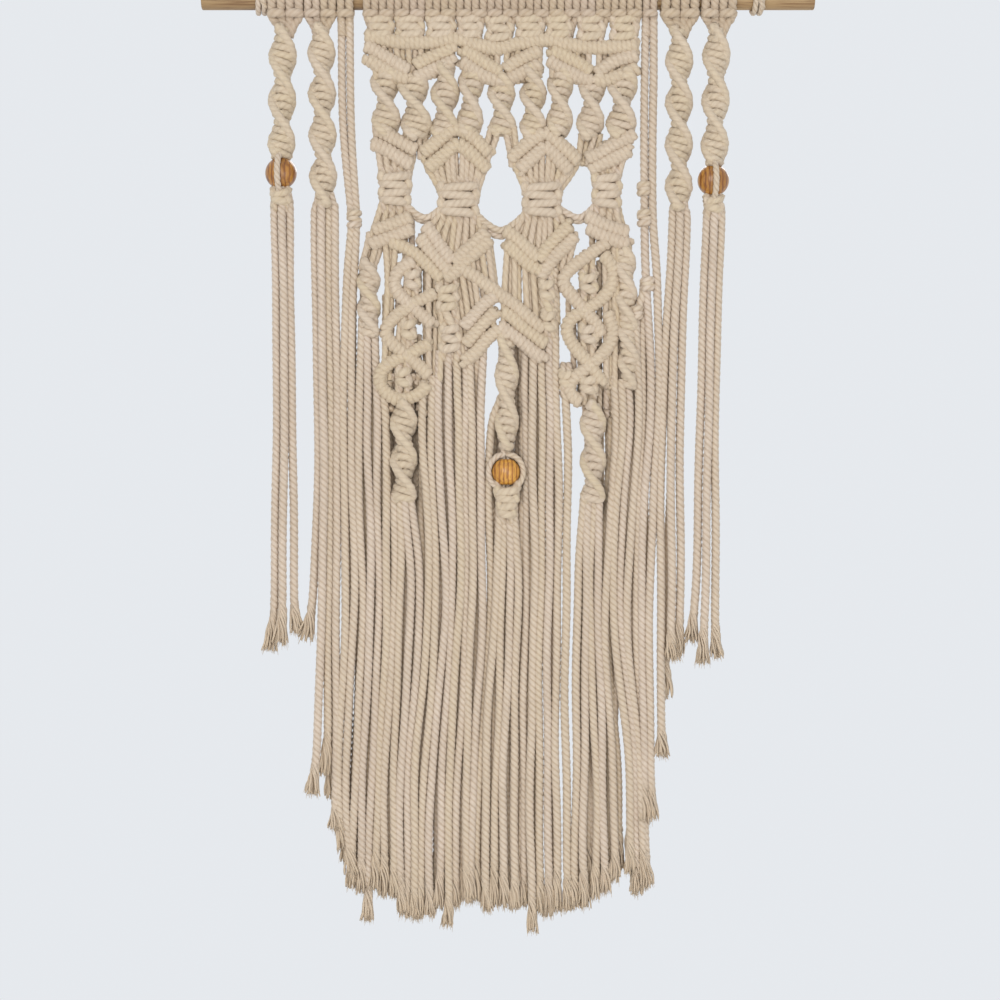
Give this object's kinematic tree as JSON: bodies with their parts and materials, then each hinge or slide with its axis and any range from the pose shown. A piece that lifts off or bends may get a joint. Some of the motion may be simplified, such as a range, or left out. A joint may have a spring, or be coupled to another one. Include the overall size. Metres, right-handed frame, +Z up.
{
  "type": "macrame wall hanging on a wooden dowel",
  "caption": "Knotted cotton rope panel with a long fringe, hung from a wooden dowel, with side sinnets and round wooden beads.",
  "frame": {"origin": "highest point of the hanger cord's centre line, where a nail or hook in the wall carries it", "axes": "+Z up, +X to the right along the dowel, -Y towards the viewer, +Y towards the wall"},
  "size_m": [0.491, 0.0353, 0.8545],
  "materials": {
    "rope": "matt twisted cotton rope, natural cream",
    "dowel": "plain stained wood, satin",
    "bead": "turned, orange-brown stain under clear varnish"
  },
  "bodies": {
    "root": {"dowel": "dowel", "hanger": "rope", "hanger_wrap_left": "rope", "hanger_wrap_right": "rope", "panel": "rope", "sinnet_far_left": "rope", "sinnet_near_left": "rope", "sinnet_near_right": "rope", "sinnet_far_right": "rope", "pair_left": "rope", "pair_right": "rope", "bead_left": "bead", "bead_right": "bead", "bead_middle": "bead"}
  },
  "joints": []
}
